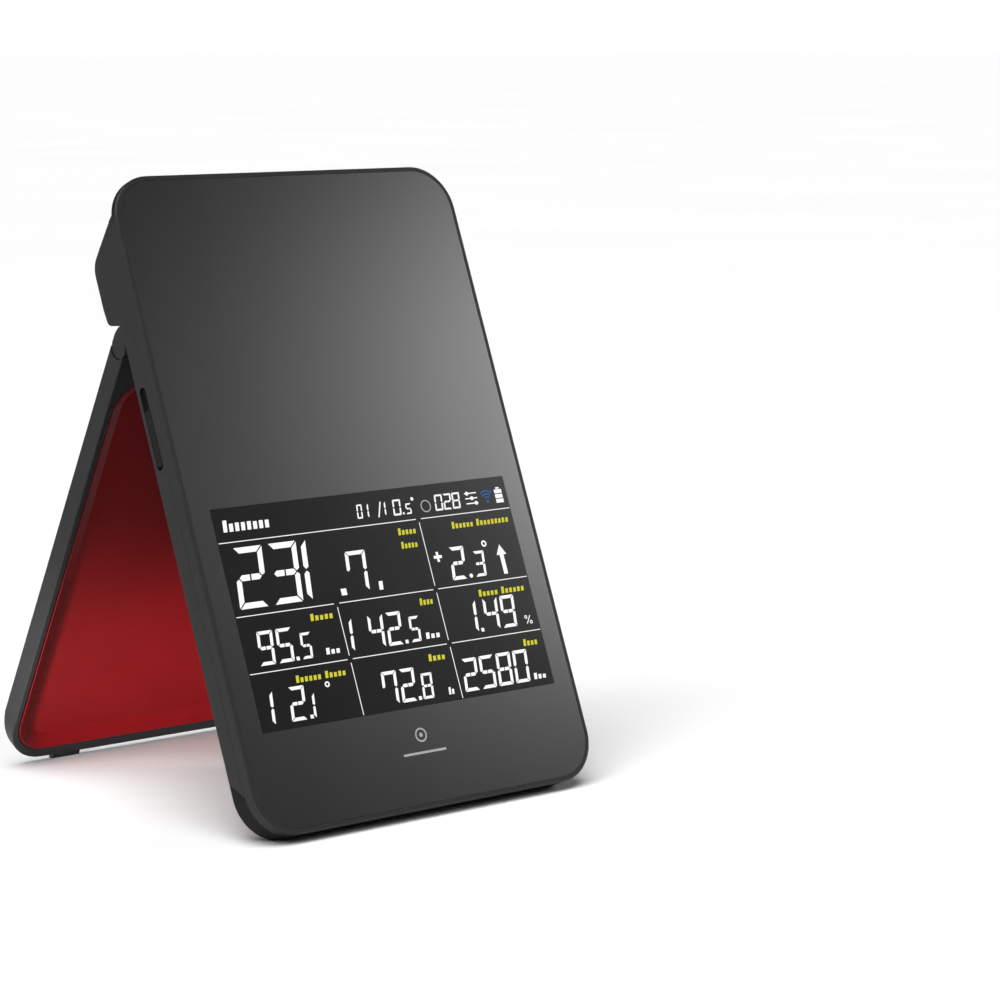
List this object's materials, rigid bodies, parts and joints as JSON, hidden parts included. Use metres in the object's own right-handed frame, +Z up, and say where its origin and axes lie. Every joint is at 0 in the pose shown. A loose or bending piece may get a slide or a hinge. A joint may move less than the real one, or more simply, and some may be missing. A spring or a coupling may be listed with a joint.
{
  "type": "launch monitor",
  "caption": "Portable golf radar launch monitor: a flat slab with a front display that leans on a hinged fold-out stand with a red inner tray.",
  "frame": {"origin": "middle of the standing footprint, on the surface the monitor stands on", "axes": "+Z up; the display faces -Y and the stand reaches towards +Y; +X to the right as seen from the front"},
  "size_m": [0.1274, 0.141, 0.1866],
  "materials": {
    "case_plastic": "fine-textured moulded plastic",
    "panel_gloss": "satin tinted panel",
    "display_black": "dark display lens",
    "tray_red": "satin red moulding",
    "rubber_black": "matte rubber",
    "steel": "plain",
    "copper": "etched copper",
    "board_green": "solder mask",
    "chip_black": "moulded",
    "lcd": "polished",
    "guide_white": "diffusing",
    "tape_black": "foam",
    "battery_foil": "foil",
    "ribbon_amber": "film",
    "lead_red": "insulation",
    "speaker_black": "moulded",
    "magnet": "plated",
    "mesh_fabric": "woven",
    "bush_acetal": "acetal",
    "segment_white": "lit display figures",
    "segment_grey": "unlit display figures",
    "label_yellow": "printed display labels",
    "icon_blue": "lit display icon",
    "print_grey": "printed mark"
  },
  "bodies": {
    "case": {"front_frame": "case_plastic", "rear_housing": "case_plastic", "heel": "rubber_black", "front_panel": "panel_gloss", "display_window": "display_black", "panel_tape": "tape_black", "lcd_glass": "lcd", "light_guide": "guide_white", "display_frame": "guide_white", "backlight_lamps": "guide_white", "display_ribbon": "ribbon_amber", "battery_cell": "battery_foil", "battery_tape": "tape_black", "battery_board": "board_green", "battery_leads": "lead_red", "radar_board": "board_green", "patch_aerials": "copper", "radar_shield": "steel", "radar_chip": "chip_black", "main_board": "board_green", "processor": "chip_black", "memory_chips": "chip_black", "wireless_module": "steel", "board_sockets": "chip_black", "speaker_frame": "speaker_black", "speaker_magnet": "magnet", "speaker_cone": "speaker_black", "speaker_mesh": "mesh_fabric", "usb_socket": "steel", "usb_board": "board_green", "tact_switch": "chip_black", "switch_board": "board_green", "case_screws": "steel", "radar_screws": "steel", "board_screws": "steel", "hinge_pins": "steel"},
    "stand": {"stand_shell": "case_plastic", "stand_tray": "tray_red", "hinge_bushes": "bush_acetal", "stand_feet": "rubber_black"},
    "port_cover": {"port_cover": "rubber_black"},
    "power_button": {"power_button": "case_plastic"}
  },
  "joints": [
    {"name": "stand_hinge", "type": "hinge", "parent": "case", "child": "stand", "pos_m": [0, -0.00099, 0.13748], "axis": [1, 0, 0], "range_deg": [-50, 0]},
    {"name": "port_cover_bend", "type": "hinge", "parent": "case", "child": "port_cover", "pos_m": [-0.063, -0.02189, 0.10472], "axis": [0, -0.9272, 0.3746], "range_deg": [0, 90]},
    {"name": "power_button_press", "type": "slide", "parent": "case", "child": "power_button", "axis": [-1, 0, 0], "range_m": [0, 0.0005], "stiffness_N_per_m": 400, "springref_m": -0.001}
  ]
}
